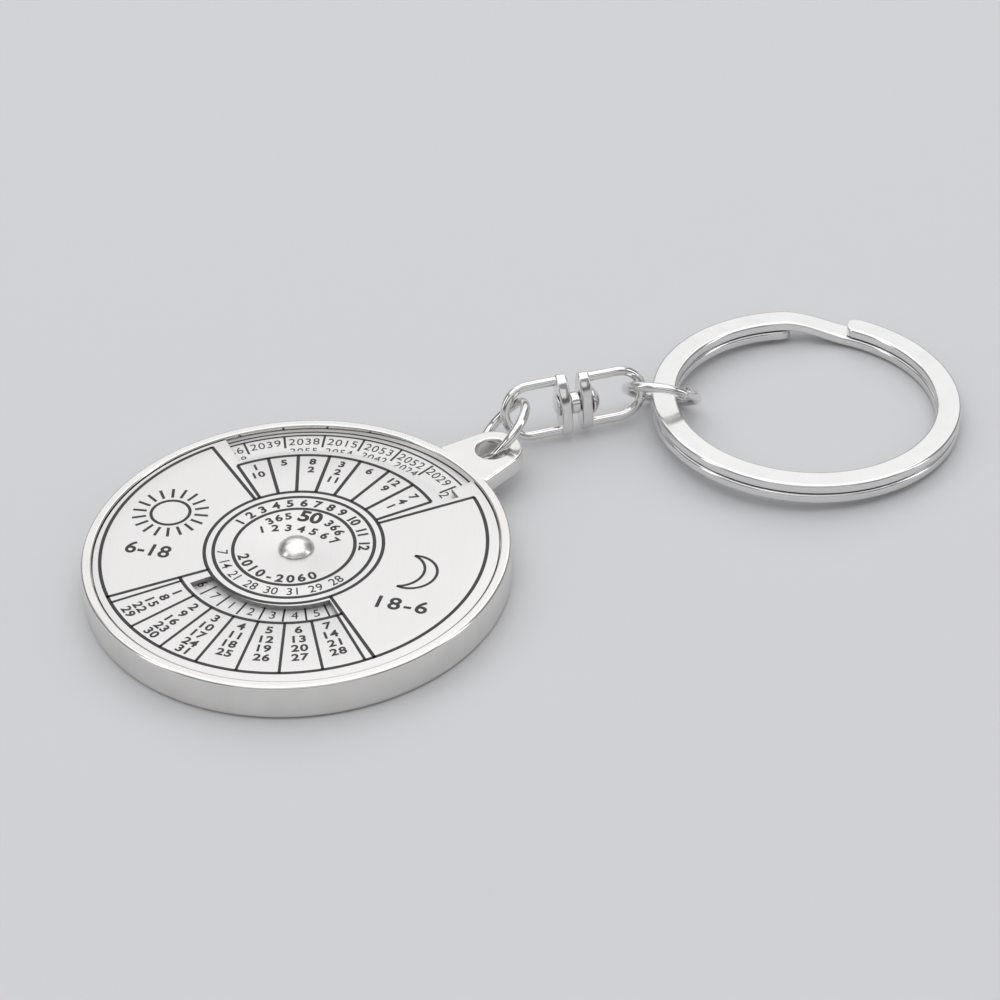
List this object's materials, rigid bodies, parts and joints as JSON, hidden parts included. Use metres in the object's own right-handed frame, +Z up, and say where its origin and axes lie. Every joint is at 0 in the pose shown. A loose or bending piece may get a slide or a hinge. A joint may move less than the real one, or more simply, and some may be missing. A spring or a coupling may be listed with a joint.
{
  "type": "perpetual calendar keyring",
  "caption": "Round metal case with a turning perpetual-calendar disc, and a swivel chain that ends in a split ring for keys.",
  "frame": {"origin": "centre of the case's flat back, on the dial's axis", "axes": "+Z up out of the printed face, +X along the chain towards the split ring as the object lies in the picture, the back and the split ring on Z = 0"},
  "size_m": [0.0894, 0.04, 0.0066],
  "materials": {
    "case_nickel": "polished nickel plate",
    "bright_wire": "polished nickel-plated steel wire",
    "dial_satin": "satin silver plate with black print",
    "year_white": "pale matt plate with black print"
  },
  "bodies": {
    "case": {"case": "case_nickel", "year_plate": "year_white", "friction_washer": "bright_wire", "centre_rivet": "bright_wire"},
    "dial": {"face_plate": "dial_satin"},
    "lug_ring": {"lug_jump_ring": "bright_wire"},
    "swivel_first": {"lug_stirrup": "bright_wire", "swivel_washer": "bright_wire", "swivel_rivet": "bright_wire"},
    "swivel_second": {"ring_stirrup": "bright_wire"},
    "ring_link": {"split_jump_ring": "bright_wire"},
    "key_ring": {"split_ring": "bright_wire"}
  },
  "joints": [
    {"name": "dial_turn", "type": "hinge", "parent": "case", "child": "dial", "pos_m": [0, 0, 0.0035], "axis": [0, 0, 1], "continuous": true},
    {"name": "lug_ring_swing", "type": "hinge", "parent": "case", "child": "lug_ring", "pos_m": [0.02259, 0.00528, 0.00278], "axis": [0, 0, 1], "range_deg": [-40, 50]},
    {"name": "stirrup_fold", "type": "hinge", "parent": "lug_ring", "child": "swivel_first", "pos_m": [0.02751, 0.00981, 0.00456], "axis": [-0.1859, 0.752, -0.6324], "range_deg": [-75, 30]},
    {"name": "swivel_turn", "type": "hinge", "parent": "swivel_first", "child": "swivel_second", "pos_m": [0.02559, 0.0098, 0.00354], "axis": [0.9874, -0.1585, -0.0005], "continuous": true},
    {"name": "ring_fold", "type": "hinge", "parent": "swivel_second", "child": "ring_link", "pos_m": [0.03844, 0.00729, 0.00445], "axis": [0.0823, -0.8189, 0.568], "range_deg": [-20, 90]},
    {"name": "split_ring_slide", "type": "hinge", "parent": "ring_link", "child": "key_ring", "pos_m": [0.0541, 0, 0.00069], "axis": [0.0454, 0, 0.999], "continuous": true}
  ]
}
